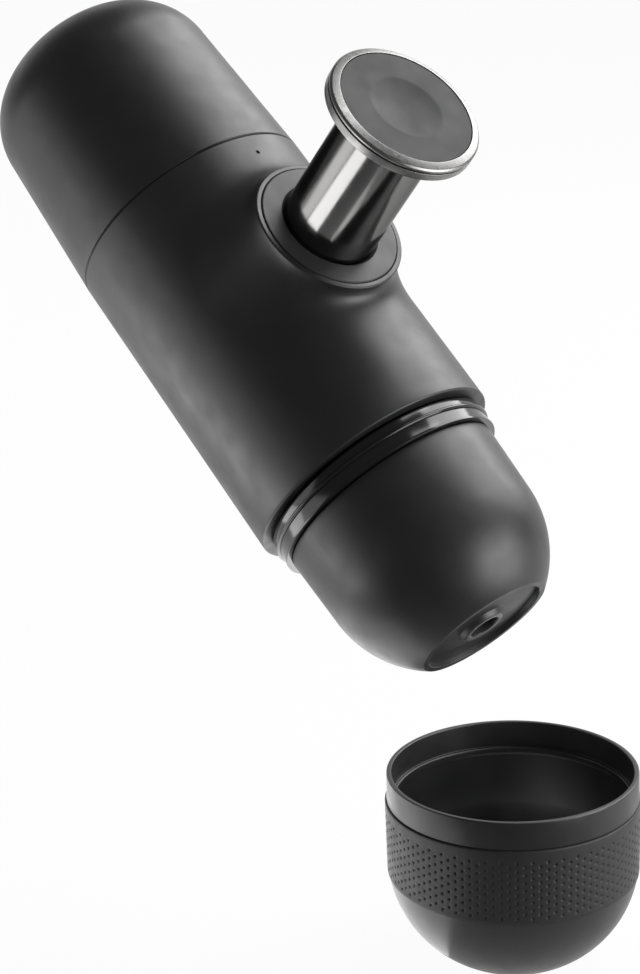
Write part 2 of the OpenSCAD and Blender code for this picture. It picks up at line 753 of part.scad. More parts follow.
water_tank();
tank_gasket();
housing_shell();
inlet_deck();
inlet_strainer();
boss_cap_ring();
piston_wiper();
pump_block();
return_spring();
inlet_valve();
inlet_valve_spring();
outlet_valve();
outlet_valve_spring();
group_head();
shower_screen();
shower_screw();
group_gasket();
plunger_rod();
plunger_seal();
piston_tube();
guide_ring();
knob();
knob_insert();
head_seal();
neck_ring();
outlet_head();
spout_nozzle();
spout_nut();
filter_basket();
basket_screen();
cup_shell();
cup_grip();
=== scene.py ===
"""Looks of a handheld manual espresso maker with its cup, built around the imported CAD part.

Lengths below are millimetres in the maker's own frame: z runs up its axis from the seam
between tank and housing, and x points along the piston. The frame's joints and mounts say
where that frame lies, and every mesh is written in metres in the shared frame.
"""

import json
import math

import bmesh
import bpy
from mathutils import Matrix, Vector


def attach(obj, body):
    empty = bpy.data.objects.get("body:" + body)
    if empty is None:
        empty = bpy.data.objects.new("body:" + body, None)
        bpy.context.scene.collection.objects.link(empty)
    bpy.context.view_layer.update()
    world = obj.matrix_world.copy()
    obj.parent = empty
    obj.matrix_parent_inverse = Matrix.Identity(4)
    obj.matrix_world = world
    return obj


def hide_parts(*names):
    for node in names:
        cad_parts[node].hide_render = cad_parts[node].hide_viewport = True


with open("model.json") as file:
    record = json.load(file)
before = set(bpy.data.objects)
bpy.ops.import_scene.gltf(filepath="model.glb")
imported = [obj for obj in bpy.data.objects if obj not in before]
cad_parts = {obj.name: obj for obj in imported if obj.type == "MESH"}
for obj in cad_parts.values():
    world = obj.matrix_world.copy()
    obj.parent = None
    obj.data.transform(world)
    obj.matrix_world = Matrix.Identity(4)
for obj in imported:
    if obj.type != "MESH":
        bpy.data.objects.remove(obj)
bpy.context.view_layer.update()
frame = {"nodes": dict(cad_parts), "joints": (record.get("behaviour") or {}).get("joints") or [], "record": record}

MM = 0.001
SEGMENTS = 256

# ---- Sizes of the part, in millimetres ----

BARREL_R = 30.0
TANK_LEN = 55.2
TANK_ROUND = 17.1
TANK_TAPER = 1.8
TANK_WALL = 2.0
THREAD_H = 8.0
MOUTH_R = 25.85
SEAM_GROOVE = 0.35

HOUSING_LEN = 77.4
HOUSING_END_R = 30.3
HOUSING_WALL = 2.2
RIM_ROUND = 0.5
DIMPLE_R = 0.5
DIMPLE_DROP = 5.2
DECK_R = 27.75
DECK_SEAT = 4.8
GROUP_TOP = 58.0
SOCKET_R = 26.9

PISTON_DROP = 31.6
BOSS_R = 18.0
BOSS_H = 34.5
BOSS_LIP_ROUND = 0.45
SKIRT_R = 26.5
CAP_R = 16.6
CAP_TOP = 34.75
CAP_LOW = 31.55
CAP_CHAMFER = 0.7
COLLAR_BORE = 13.4
TUBE_R = 11.1
TUBE_IN = 10.1
TUBE_START = 28.55
KNOB_LOW = 69.15
KNOB_T = 3.7
KNOB_R = 17.7
HUB_LOW = 66.15
ROD_R = 4.0
INSERT_R = 15.6
INSERT_T = 1.4
DISH_R = 8.6
DISH_DEPTH = 0.8

NECK_TOP = 67.0
NECK_START = 78.0
NECK_R = 28.0
NECK_THREAD_R = 26.65
NECK_BORE = 21.25
BEAD_AT = 80.48
BEAD_HALF = 0.45
BEAD_PROUD = 0.6
FLANGE_T = 0.6
FLANGE_R = 28.2
HEAD_TOP = 84.0
HEAD_R = 26.85
HEAD_LEN = 36.9
HEAD_STRAIGHT = 17.0
HEAD_TAPER = 0.6
HEAD_END_R = 16.2
HEAD_WALL = 1.8
RECESS_R = 14.5
RECESS_DEPTH = 1.2
SPIGOT_R = 24.45
SPIGOT_H = 6.0
SPOUT_R = 5.0
SPOUT_BORE_R = 3.6
SPOUT_TIP = 120.85
COLLAR_PROUD = 1.05

CUP_RIM_R = 29.3
CUP_H = 46.1
CUP_BAND_H = 6.6
GRIP_H = 18.4
GRIP_R = 29.8
GRIP_TAPER = 0.3
GRIP_T = 0.9
BOWL_ROUND = 27.5
FOOT_R = 13.4
CUP_WALL = 1.3
LEDGE_DEPTH = 6.4
LEDGE_R = 27.2

DENT_COLUMNS = 106
DENTS_PER_COLUMN = 8
DENT_PITCH = 1.96
DENT_FIRST = 3.0
DENT_R = 0.38
DENT_DEEP = 0.38

TANK_PITCH = 2.0
HEAD_PITCH = 3.0
STARTS = 4
THREAD_DEPTH = 0.7

# ---- Places, from the frame ----


def joint(name):
    """The record's row for one joint."""
    return next(j for j in frame["joints"] if j["name"] == name)


def mount(name):
    """The record's row for one mount."""
    return next(m for m in frame["record"]["mounts"] if m["name"] == name)


def axes_at(origin, x_axis, z_axis):
    """A matrix whose local axes are these directions, with its origin in metres."""
    z = Vector(z_axis).normalized()
    x = Vector(x_axis).normalized()
    y = z.cross(x).normalized()
    x = y.cross(z)
    place = Matrix((x, y, z)).transposed().to_4x4()
    place.translation = origin
    return place


MAKER = axes_at(joint("tank_turn")["pos_m"], joint("piston_slide")["axis"], joint("tank_turn")["axis"])
PISTON = MAKER @ Matrix.Translation((0, 0, -PISTON_DROP * MM)) @ Matrix.Rotation(math.pi / 2, 4, "Y")
CUP = Matrix.Translation(mount("cup_foot")["pos_m"])
FLOOR_Z = mount("cup_foot")["pos_m"][2]

# ---- Mesh helpers ----


def arc(cx, cy, r, a0, a1, steps):
    """Points of an arc about (cx, cy), angles in degrees, both ends included."""
    turn = [math.radians(a0 + (a1 - a0) * i / steps) for i in range(steps + 1)]
    return [(cx + r * math.cos(a), cy + r * math.sin(a)) for a in turn]


def rounded(points, steps=5):
    """The same chain with each corner that names a radius, (r, z, radius), turned into an arc."""
    out = []
    for i, p in enumerate(points):
        if len(p) == 2 or i in (0, len(points) - 1):
            out.append(p[:2])
            continue
        corner = Vector(p[:2])
        before = (Vector(points[i - 1][:2]) - corner)
        after = (Vector(points[i + 1][:2]) - corner)
        half = before.angle(after) / 2
        run = min(p[2] / math.tan(half), before.length * 0.49, after.length * 0.49)
        start = corner + before.normalized() * run
        end = corner + after.normalized() * run
        for k in range(steps + 1):
            t = k / steps
            out.append(tuple((1 - t) ** 2 * start + 2 * t * (1 - t) * corner + t * t * end))
    return out


def new_piece(name, points, faces, place, sharp_deg=32):
    """A mesh object in the shared frame from millimetre points in a local frame."""
    mesh = bpy.data.meshes.new(name)
    mesh.from_pydata([place @ (Vector(p) * MM) for p in points], [], faces)
    work = bmesh.new()
    work.from_mesh(mesh)
    bmesh.ops.remove_doubles(work, verts=work.verts, dist=1e-7)
    bmesh.ops.recalc_face_normals(work, faces=work.faces)
    work.to_mesh(mesh)
    work.free()
    mesh.polygons.foreach_set("use_smooth", [True] * len(mesh.polygons))
    mesh.set_sharp_from_angle(angle=math.radians(sharp_deg))
    piece = bpy.data.objects.new(name, mesh)
    bpy.context.scene.collection.objects.link(piece)
    return piece


def bridge(faces, a, b, closed=True):
    """Quads between two rows of vertex numbers."""
    n = len(a)
    for i in range(n if closed else n - 1):
        j = (i + 1) % n
        faces.append((a[i], a[j], b[j], b[i]))


def thread_wave(height, angle, pitch):
    """Share from -1 to 1 of a multi-start right-hand thread's profile."""
    phase = 2 * math.pi * height / pitch - STARTS * angle
    return max(-1.0, min(1.0, 1.7 * math.cos(phase)))


def thread_rows(r, z0, z1, pitch, rows_per_pitch=10):
    """Chain points along a threaded wall; the third value says how deep the thread is there."""
    n = max(2, round(abs(z1 - z0) / pitch * rows_per_pitch))
    fade = pitch * 0.6
    rows = []
    for i in range(n + 1):
        z = z0 + (z1 - z0) * i / n
        edge = min(abs(z - z0), abs(z - z1)) / fade
        rows.append((r, z, min(1.0, edge) * THREAD_DEPTH / 2, pitch))
    return rows


def ring_point(p, angle):
    """One point of a turned form; threaded rows swell and shrink with the angle."""
    r = p[0]
    if len(p) == 4:
        r += p[2] * thread_wave(p[1], angle, p[3])
    return (r * math.cos(angle), r * math.sin(angle), p[1])


def lathe(name, chain, place, segments=SEGMENTS, sharp_deg=32):
    """Turns a chain of (radius, height) about z. A chain that ends on the axis is closed there,
    and one that does not is joined end to start, as the section of a ring."""
    points, faces, rows = [], [], []
    angles = [2 * math.pi * i / segments for i in range(segments)]
    for p in chain:
        if p[0] < 1e-6:
            rows.append([len(points)])
            points.append((0.0, 0.0, p[1]))
        else:
            rows.append(list(range(len(points), len(points) + segments)))
            points += [ring_point(p, a) for a in angles]
    pairs = list(zip(rows, rows[1:]))
    if len(rows[0]) > 1 and len(rows[-1]) > 1:
        pairs.append((rows[-1], rows[0]))
    for a, b in pairs:
        if len(a) == 1 and len(b) == 1:
            continue
        if len(a) == 1 or len(b) == 1:
            tip, ring = (a[0], b) if len(a) == 1 else (b[0], a)
            faces += [(tip, ring[i], ring[(i + 1) % segments]) for i in range(segments)]
        else:
            bridge(faces, a, b)
    return new_piece(name, points, faces, place, sharp_deg)


def cut(piece, *cutters):
    """Cuts closed forms out of a piece and applies the result."""
    for cutter in cutters:
        step = piece.modifiers.new("cut", "BOOLEAN")
        step.operation = "DIFFERENCE"
        step.solver = "EXACT"
        step.object = cutter
    graph = bpy.context.evaluated_depsgraph_get()
    mesh = bpy.data.meshes.new_from_object(piece.evaluated_get(graph))
    piece.modifiers.clear()
    piece.data = mesh
    mesh.polygons.foreach_set("use_smooth", [True] * len(mesh.polygons))
    mesh.set_sharp_from_angle(angle=math.radians(32))
    for cutter in cutters:
        bpy.data.objects.remove(cutter)
    return piece


def plug(name, r, z0, z1, place, segments=48):
    """A plain round bar between two heights, used as a cutter."""
    return lathe(name, [(0, z0), (r, z0), (r, z1), (0, z1)], place, segments)


# ---- Materials ----


class Finish:
    """A material's nodes, with short calls for the ones used here."""

    def __init__(self, name, **constants):
        self.material = bpy.data.materials.new(name)
        self.material.use_nodes = True
        self.tree = self.material.node_tree
        self.shader = self.tree.nodes["Principled BSDF"]
        self.coords = self.tree.nodes.new("ShaderNodeTexCoord")
        for socket, value in constants.items():
            self.shader.inputs[socket.replace("_", " ")].default_value = value

    def node(self, kind, **settings):
        made = self.tree.nodes.new("ShaderNode" + kind)
        for key, value in settings.items():
            if key in made.inputs:
                made.inputs[key].default_value = value
            else:
                setattr(made, key, value)
        return made

    def link(self, out, into):
        self.tree.links.new(out, into)

    def noise(self, scale, detail=3.0, stretch=(1, 1, 1), turn=(0, 0, 0)):
        """A noise over the object's own metres; scale is in cycles per metre."""
        spread = self.node("Mapping")
        spread.inputs["Scale"].default_value = stretch
        spread.inputs["Rotation"].default_value = turn
        self.link(self.coords.outputs["Object"], spread.inputs["Vector"])
        made = self.node("TexNoise", Scale=scale, Detail=detail)
        self.link(spread.outputs["Vector"], made.inputs["Vector"])
        return made.outputs["Fac"]

    def spread_to(self, source, low, high, socket, start=0.3, end=0.7):
        """Maps a noise onto a range of one shader socket."""
        made = self.node("MapRange")
        made.inputs["From Min"].default_value = start
        made.inputs["From Max"].default_value = end
        made.inputs["To Min"].default_value = low
        made.inputs["To Max"].default_value = high
        self.link(source, made.inputs["Value"])
        self.link(made.outputs["Result"], self.shader.inputs[socket])

    def colours(self, source, dark, light, start=0.3, end=0.7):
        """Maps a noise onto the base colour, between two shades."""
        ramp = self.node("ValToRGB")
        ramp.color_ramp.elements[0].position = start
        ramp.color_ramp.elements[0].color = (*dark, 1)
        ramp.color_ramp.elements[1].position = end
        ramp.color_ramp.elements[1].color = (*light, 1)
        self.link(source, ramp.inputs["Fac"])
        self.link(ramp.outputs["Color"], self.shader.inputs["Base Color"])

    def bump(self, source, strength, depth):
        """A bump of that depth in metres; later calls add to earlier ones."""
        made = self.node("Bump", Strength=strength, Distance=depth)
        before = self.shader.inputs["Normal"].links
        if before:
            self.link(before[0].from_socket, made.inputs["Normal"])
        self.link(source, made.inputs["Height"])
        self.link(made.outputs["Normal"], self.shader.inputs["Normal"])


def grey(value, warm=0.0):
    """A near-neutral shade."""
    return (value * (1 + warm), value, value * (1 - warm))


def moulded(name, shade, roughness, grain=2600, depth=0.00002, spread=0.05, gloss=0.5):
    """Moulded plastic: a fine even grain, faint colour drift and slight changes in sheen."""
    made = Finish(name, IOR=1.5, Specular_IOR_Level=gloss)
    made.colours(made.noise(45, 4), grey(shade * 0.9, -0.01), grey(shade * 1.1, -0.01))
    made.spread_to(made.noise(160, 3), roughness - spread, roughness + spread, "Roughness")
    made.bump(made.noise(grain, 2), 0.25, depth)
    return made.material


def soft_touch(name, shade, roughness):
    """Soft-touch rubber: matte, with a faint sheen at the edges."""
    made = Finish(name, IOR=1.45, Sheen_Weight=0.08, Sheen_Roughness=0.4)
    made.colours(made.noise(60, 4), grey(shade * 0.85), grey(shade * 1.15))
    made.spread_to(made.noise(400, 3), roughness - 0.05, roughness + 0.05, "Roughness")
    made.bump(made.noise(3200, 2), 0.3, 0.00002)
    return made.material


def polished(name, shade, roughness):
    """Dark polished metal: a very fine grain, faint colour drift and slight changes in sheen."""
    made = Finish(name, Metallic=1.0, Specular_Tint=(0.45, 0.45, 0.45, 1))
    made.colours(made.noise(30, 2), grey(shade * 0.97, 0.01), grey(shade * 1.03, 0.01))
    made.spread_to(made.noise(220, 4), roughness * 0.8, roughness * 1.25, "Roughness")
    made.bump(made.noise(1500, 2), 0.05, 0.000004)
    return made.material


def satin_metal(name, shade, roughness, anisotropy=0.4):
    """Turned satin metal: fine lines and uneven sheen."""
    made = Finish(name, Metallic=1.0, Anisotropic=anisotropy)
    made.colours(made.noise(80, 3), grey(shade * 0.93, 0.01), grey(shade * 1.07, 0.01))
    made.spread_to(made.noise(900, 4), roughness * 0.8, roughness * 1.2, "Roughness")
    made.bump(made.noise(2400, 3), 0.12, 0.00001)
    return made.material


FINISHES = {
    "housing_plastic": moulded("housing_plastic", 0.014, 0.42),
    "tank_plastic": moulded("tank_plastic", 0.014, 0.42),
    "cup_plastic": moulded("cup_plastic", 0.016, 0.36),
    "cap_ring_plastic": moulded("cap_ring_plastic", 0.03, 0.45, grain=3000, gloss=0.35),
    "neck_plastic": moulded("neck_plastic", 0.008, 0.14, grain=1500, depth=0.000003, spread=0.02),
    "inner_plastic": moulded("inner_plastic", 0.02, 0.35),
    "spout_plastic": moulded("spout_plastic", 0.03, 0.3),
    "insert_plastic": moulded("insert_plastic", 0.025, 0.5, grain=3200, gloss=0.17),
    "grip_rubber": soft_touch("grip_rubber", 0.016, 0.55),
    "seal_rubber": soft_touch("seal_rubber", 0.012, 0.6),
    "tube_metal": polished("tube_metal", 0.20, 0.14),
    "knob_metal": satin_metal("knob_metal", 0.22, 0.32, anisotropy=0.2),
    "steel": satin_metal("steel", 0.6, 0.28),
}


def dress(piece, body, finish, replaces=()):
    """Gives a new piece its finish and its body, and hides the CAD nodes that it stands for."""
    piece.data.materials.clear()
    piece.data.materials.append(FINISHES[finish])
    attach(piece, body)
    if replaces:
        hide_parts(*replaces)
    return piece


# ---- Tank ----


def tank_form():
    """The can: its threaded mouth, its inside and its rounded closed end."""
    shoulder = TANK_LEN - TANK_ROUND
    r_top = BARREL_R - TANK_TAPER
    centre = r_top - TANK_ROUND
    chain = [(0, TANK_LEN - TANK_WALL)]
    chain += arc(centre, shoulder, TANK_ROUND - TANK_WALL, 90, 0, 20)
    chain += [(BARREL_R - TANK_WALL - 1, THREAD_H + 3), (MOUTH_R, THREAD_H + 1)]
    chain += thread_rows(MOUTH_R, THREAD_H, 0.6, TANK_PITCH)
    chain += [(MOUTH_R + 0.4, 0)]
    chain += rounded([(MOUTH_R + 0.4, 0), (BARREL_R - SEAM_GROOVE, 0, 0.1), (BARREL_R, SEAM_GROOVE, 0.2),
                      (BARREL_R - TANK_TAPER * 0.1, shoulder * 0.1)], 3)
    chain += arc(centre, shoulder, TANK_ROUND, 0, 90, 40)
    chain += [(0, TANK_LEN)]
    return lathe("tank_can", chain, MAKER)


dress(tank_form(), "tank", "tank_plastic", ["water_tank"])


# ---- Housing ----


def barrel_at(z):
    """Outer radius of the housing at a height."""
    return BARREL_R + (BARREL_R - HOUSING_END_R) * z / HOUSING_LEN


def housing_form():
    """The housing as one closed shell: a patch of rings round the boss, inside and out,
    set in a grid round the barrel, with the rims and the threaded socket at the ends."""
    side, back = 48, 68
    half_turn = math.radians(75)
    top_out, low_out = -SEAM_GROOVE, RIM_ROUND - HOUSING_LEN
    shelf = GROUP_TOP - 2
    top_in, low_in = -DECK_SEAT - 4, 2 - shelf
    wall_in_top = barrel_at(top_in) - HOUSING_WALL
    wall_in_low = barrel_at(low_in) - HOUSING_WALL
    points, faces = [], []

    def add(ring):
        start = len(points)
        points.extend(ring)
        return list(range(start, len(points)))

    def inner_at(z):
        share = (z - top_in) / (low_in - top_in)
        return wall_in_top + (wall_in_low - wall_in_top) * share

    def on_wall(radius_at, angle, z):
        r = radius_at(z)
        return (r * math.cos(angle), r * math.sin(angle), z)

    def frame_ring(top, low):
        """Angles and heights round the rectangle that the patch fills, from its top left."""
        edge = [(-half_turn + 2 * half_turn * i / side, top) for i in range(side)]
        edge += [(half_turn, top + (low - top) * i / side) for i in range(side)]
        edge += [(half_turn - 2 * half_turn * i / side, low) for i in range(side)]
        edge += [(-half_turn, low + (top - low) * i / side) for i in range(side)]
        return edge

    frame_out, frame_in = frame_ring(top_out, low_out), frame_ring(top_in, low_in)
    turns = [math.atan2(a * BARREL_R, z + PISTON_DROP) for a, z in frame_out]

    def boss_point(turn, r, h):
        return (h, r * math.sin(turn), r * math.cos(turn) - PISTON_DROP)

    def foot(turn, r, radius_at):
        """Point where a circle about the piston's axis meets a wall, as angle and height."""
        y, z = r * math.sin(turn), r * math.cos(turn) - PISTON_DROP
        return math.asin(y / radius_at(z)), z

    def spread(ring, radius_at, r_foot, steps, outward):
        """Rings on a wall between the foot of the boss and the rectangle."""
        rows = []
        for k in range(steps):
            t = k / steps
            row = []
            for (a1, z1), turn in zip(ring, turns):
                a0, z0 = foot(turn, r_foot, radius_at)
                row.append(on_wall(radius_at, a0 + (a1 - a0) * t, z0 + (z1 - z0) * t))
            rows.append(row)
        rows.append([on_wall(radius_at, a, z) for a, z in ring])
        return rows if outward else rows[::-1]

    def skirt(steps):
        """Rings down the skirt: each curve leaves the boss's wall upright and lands on the
        barrel along its slope."""
        wall_top = BOSS_H - 0.6
        rows = []
        for k in range(steps + 1):
            t = k / steps
            row = []
            for turn in turns:
                z = SKIRT_R * math.cos(turn) - PISTON_DROP
                low = math.sqrt(barrel_at(z) ** 2 - (SKIRT_R * math.sin(turn)) ** 2)
                slope = SKIRT_R * math.sin(turn) ** 2 / low
                mid = min(low + slope * (SKIRT_R - BOSS_R), wall_top - 1)
                r = (1 - t) ** 2 * BOSS_R + 2 * t * (1 - t) * BOSS_R + t * t * SKIRT_R
                h = (1 - t) ** 2 * wall_top + 2 * t * (1 - t) * mid + t * t * low
                row.append(boss_point(turn, r, h))
            rows.append(row)
        return rows

    lip = arc(BOSS_R - BOSS_LIP_ROUND, BOSS_H - BOSS_LIP_ROUND, BOSS_LIP_ROUND, 90, 0, 5)
    seat = [(COLLAR_BORE, CAP_LOW - 5), (COLLAR_BORE, CAP_LOW), (CAP_R + 0.05, CAP_LOW),
            (CAP_R + 0.05, BOSS_H - 0.2), (CAP_R + 0.25, BOSS_H)]
    rows = spread(frame_in, inner_at, COLLAR_BORE, 6, outward=False)
    rows += [[boss_point(turn, r, h) for turn in turns] for r, h in seat + lip]
    rows += skirt(18)[:-1]
    rows += spread(frame_out, barrel_at, SKIRT_R, 10, outward=True)
    rings = [add(row) for row in rows]
    for a, b in zip(rings, rings[1:]):
        bridge(faces, a, b)

    def wrap(ring, radius_at, top, low):
        """The grid round the back of a wall, between the rectangle's two upright sides."""
        right = ring[side:2 * side + 1]
        left = [ring[0]] + ring[:3 * side - 1:-1]
        columns = [right]
        for k in range(1, back):
            angle = half_turn + (2 * math.pi - 2 * half_turn) * k / back
            columns.append(add([on_wall(radius_at, angle, top + (low - top) * i / side)
                                for i in range(side + 1)]))
        columns.append(left)
        for a, b in zip(columns, columns[1:]):
            bridge(faces, a, b, closed=False)
        top_ring = ring[:side] + [c[0] for c in columns[:-1]]
        low_ring = [ring[3 * side - i] for i in range(side)] + [c[-1] for c in columns[:-1]]
        return top_ring, low_ring

    out_top, out_low = wrap(rings[-1], barrel_at, top_out, low_out)
    in_top, in_low = wrap(rings[0], inner_at, top_in, low_in)
    front = [-half_turn + 2 * half_turn * i / side for i in range(side)]
    rear = [half_turn + (2 * math.pi - 2 * half_turn) * k / back for k in range(back)]

    def close(start, chain, end):
        """Rings of a turned profile from one wall's edge to the other's."""
        last = start
        for p in chain:
            row = add([ring_point(p, a) for a in front + rear])
            bridge(faces, last, row)
            last = row
        bridge(faces, last, end)

    close(out_top, [(BARREL_R - SEAM_GROOVE, 0), (DECK_R + 0.05, 0), (DECK_R + 0.05, -DECK_SEAT),
                    (DECK_R - 1.6, -DECK_SEAT), (DECK_R - 1.6, -DECK_SEAT - 2)], in_top)
    rim = arc(HOUSING_END_R - RIM_ROUND, RIM_ROUND - HOUSING_LEN, RIM_ROUND, -15, -90, 6)
    socket = [(SOCKET_R + 0.3, -HOUSING_LEN), (SOCKET_R, 0.5 - HOUSING_LEN)]
    socket += thread_rows(SOCKET_R, 0.8 - HOUSING_LEN, -68, HEAD_PITCH)
    socket += [(SOCKET_R, -GROUP_TOP), (SOCKET_R - 1.2, -GROUP_TOP), (SOCKET_R - 1.2, -shelf)]
    close(out_low, rim + socket, in_low)
    made = new_piece("housing_case", points, faces, MAKER)
    dimple = lathe("dimple_cutter", arc(0, -DIMPLE_DROP, DIMPLE_R, -90, 90, 12),
                   MAKER @ Matrix.Translation((barrel_at(-DIMPLE_DROP) * MM, 0, 0)), 32)
    return cut(made, dimple)


dress(housing_form(), "housing", "housing_plastic", ["housing_shell"])


def deck_form():
    """The deck under the tank with its threaded neck and the way down to the pump."""
    neck_in, column_x = MOUTH_R - 2.25, 17.0
    chain = [(0, -1.6)]
    chain += rounded([(0, -1.6), (neck_in, -1.6), (neck_in, THREAD_H, 0.3), (MOUTH_R - 0.25, THREAD_H, 0.4),
                      (MOUTH_R - 0.25, THREAD_H - 0.8)], 4)[1:]
    chain += thread_rows(MOUTH_R - 0.25, THREAD_H - 0.8, -1.0, TANK_PITCH)
    chain += [(MOUTH_R - 0.25, -1.6), (DECK_R, -1.6), (DECK_R, -DECK_SEAT), (0, -DECK_SEAT)]
    inlet = MAKER @ Matrix.Translation((-column_x * MM, 0, 0))
    return cut(lathe("tank_deck", chain, MAKER), plug("inlet_cutter", 6.05, -2.2, 0, inlet),
               plug("sump_cutter", 4.4, -3.2, 0, inlet), plug("port_cutter", 1.8, -6, 0, inlet))


dress(deck_form(), "housing", "inner_plastic", ["inlet_deck"])


# ---- Boss ring, piston tube and knob ----


def cap_form():
    """The ring let into the boss, with its bright chamfer round the tube."""
    bore = TUBE_R + 0.05
    return lathe("cap_ring", rounded([
        (bore, CAP_LOW), (CAP_R, CAP_LOW), (CAP_R, CAP_TOP, 0.35), (bore + CAP_CHAMFER, CAP_TOP, 0.12),
        (bore, CAP_TOP - CAP_CHAMFER, 0.1), (bore, CAP_LOW + 2.1), (bore + 1.4, CAP_LOW + 2.1),
        (bore + 1.4, CAP_LOW + 0.8), (bore, CAP_LOW + 0.8)], 4), PISTON)


def tube_form():
    """The polished tube."""
    return lathe("press_tube", [
        (TUBE_IN, TUBE_START), (TUBE_R - 0.1, TUBE_START), (TUBE_R, TUBE_START + 0.1),
        (TUBE_R, KNOB_LOW - 0.1), (TUBE_R - 0.1, KNOB_LOW), (TUBE_IN, KNOB_LOW)], PISTON)


def knob_form():
    """The wide knob: an upper lip that slopes outwards, a groove, a lower band, a seat for the
    disc and a hub."""
    top = KNOB_LOW + KNOB_T
    hub = TUBE_IN - 0.05
    return lathe("press_knob", rounded([
        (0, HUB_LOW + 2.05), (ROD_R + 0.05, HUB_LOW + 2.05), (ROD_R + 0.05, HUB_LOW), (hub, HUB_LOW, 0.2),
        (hub, KNOB_LOW), (KNOB_R, KNOB_LOW, 0.25), (KNOB_R, top - 1.85, 0.12),
        (KNOB_R - 0.45, top - 1.75), (KNOB_R - 0.45, top - 1.5),
        (KNOB_R, top - 1.5, 0.2), (KNOB_R, top - 0.95, 0.3), (KNOB_R - 0.4, top - 0.55, 0.4),
        (INSERT_R + 0.05, top, 0.1),
        (INSERT_R + 0.05, top - INSERT_T), (0, top - INSERT_T)], 7), PISTON)


def insert_form():
    """The disc in the knob with its round dish for the palm."""
    low = KNOB_LOW + KNOB_T - INSERT_T
    top = KNOB_LOW + KNOB_T - 0.15
    dish = (DISH_R ** 2 + DISH_DEPTH ** 2) / (2 * DISH_DEPTH)
    chain = [(0, low), (INSERT_R, low), (INSERT_R, top - 0.15), (INSERT_R - 0.15, top), (DISH_R + 0.25, top)]
    for i in range(16):
        r = DISH_R * (1 - i / 16)
        chain.append((r, top - DISH_DEPTH + dish - math.sqrt(dish ** 2 - r ** 2)))
    return lathe("knob_disc", chain + [(0, top - DISH_DEPTH)], PISTON, sharp_deg=25)


dress(cap_form(), "housing", "cap_ring_plastic", ["boss_cap_ring"])
dress(tube_form(), "press_knob", "tube_metal", ["piston_tube"])
dress(knob_form(), "press_knob", "knob_metal", ["knob"])
dress(insert_form(), "press_knob", "insert_plastic", ["knob_insert"])


# ---- Neck, outlet head and spout ----


def neck_form():
    """The head's threaded ring with its glossy neck, bead and thin flange."""
    bead = arc(NECK_R + BEAD_PROUD - BEAD_HALF, -BEAD_AT, BEAD_HALF, 90, -90, 10)
    flange = FLANGE_T - HEAD_TOP
    chain = [(NECK_BORE, -NECK_TOP), (NECK_THREAD_R - 0.4, -NECK_TOP), (NECK_THREAD_R, -NECK_TOP - 0.4)]
    chain += thread_rows(NECK_THREAD_R, -NECK_TOP - 0.6, 1.0 - NECK_START, HEAD_PITCH)
    chain += rounded([(NECK_THREAD_R, -NECK_START), (NECK_R, -NECK_START, 0.3),
                      (NECK_R, BEAD_HALF - BEAD_AT)], 4)
    chain += bead
    chain += rounded([(NECK_R, -BEAD_HALF - BEAD_AT), (NECK_R, flange, 0.08), (FLANGE_R, flange, 0.1),
                      (FLANGE_R, -HEAD_TOP, 0.1), (SPIGOT_R, -HEAD_TOP)], 4)
    chain += [(SPIGOT_R, -HEAD_TOP - SPIGOT_H), (NECK_BORE, -HEAD_TOP - SPIGOT_H)]
    return lathe("neck_band", chain, MAKER)


def head_form():
    """The tapered outlet head, its raised rim, the recessed end face and the spout's collar."""
    r_mid = HEAD_R - HEAD_TAPER
    mid, end = HEAD_TOP + HEAD_STRAIGHT, HEAD_TOP + HEAD_LEN
    run, drop = end - mid, r_mid - HEAD_END_R
    slope = math.atan(HEAD_TAPER / HEAD_STRAIGHT)
    turn = 2 * (math.atan(drop / run) - slope)
    radius = math.hypot(run, drop) / (2 * math.sin(turn / 2))
    cx, cy = r_mid - radius * math.cos(slope), mid - radius * math.sin(slope)
    start, stop = math.degrees(slope), math.degrees(slope + turn)
    face = end - RECESS_DEPTH
    seat = SPIGOT_R + 0.05
    outer = [(seat, HEAD_TOP), (HEAD_R - 0.4, HEAD_TOP), (HEAD_R, HEAD_TOP + 0.3)]
    outer = rounded([outer[0], (*outer[1], 0.1), (*outer[2], 0.3), (r_mid, mid)], 4)[:-1]
    shell = arc(cx, cy, radius, start, stop, 40)
    collar = face + COLLAR_PROUD
    rim_in = rounded([shell[-1], (HEAD_END_R - 0.15, end, 0.2), (RECESS_R + 0.3, end, 0.25),
                      (RECESS_R, face), (SPOUT_R + 0.9, face, 0.2), (SPOUT_R + 0.3, collar, 0.1),
                      (SPOUT_R + 0.05, collar)], 5)[1:]
    inner = [p for p in arc(cx, cy, radius - HEAD_WALL, start, stop, 20)
             if HEAD_TOP + SPIGOT_H + 1 < p[1] < face - 2 * HEAD_WALL]
    low = face - HEAD_WALL
    chain = outer + shell + rim_in + [(SPOUT_R + 0.05, low), (SPOUT_R + 6, low)] + inner[::-1]
    chain += [(seat, HEAD_TOP + SPIGOT_H)]
    return lathe("outlet_dome", [(r, -d) for r, d in chain], MAKER)


def spout_form():
    """The spout's tube with its flange inside the head."""
    flange = HEAD_TOP + HEAD_LEN - RECESS_DEPTH - HEAD_WALL
    chain = rounded([(SPOUT_BORE_R, flange - 5), (SPOUT_R, flange - 5), (SPOUT_R, flange - 1.2),
                     (SPOUT_R + 3, flange - 1.2), (SPOUT_R + 3, flange), (SPOUT_R, flange),
                     (SPOUT_R, SPOUT_TIP, 0.3), (SPOUT_BORE_R, SPOUT_TIP, 0.3), (SPOUT_BORE_R, flange)], 4)
    return lathe("spout_tube", [(r, -d) for r, d in chain], MAKER)


dress(neck_form(), "head", "neck_plastic", ["neck_ring"])
dress(head_form(), "head", "housing_plastic", ["outlet_head"])
dress(spout_form(), "head", "spout_plastic", ["spout_nozzle"])


# ---- Cup ----


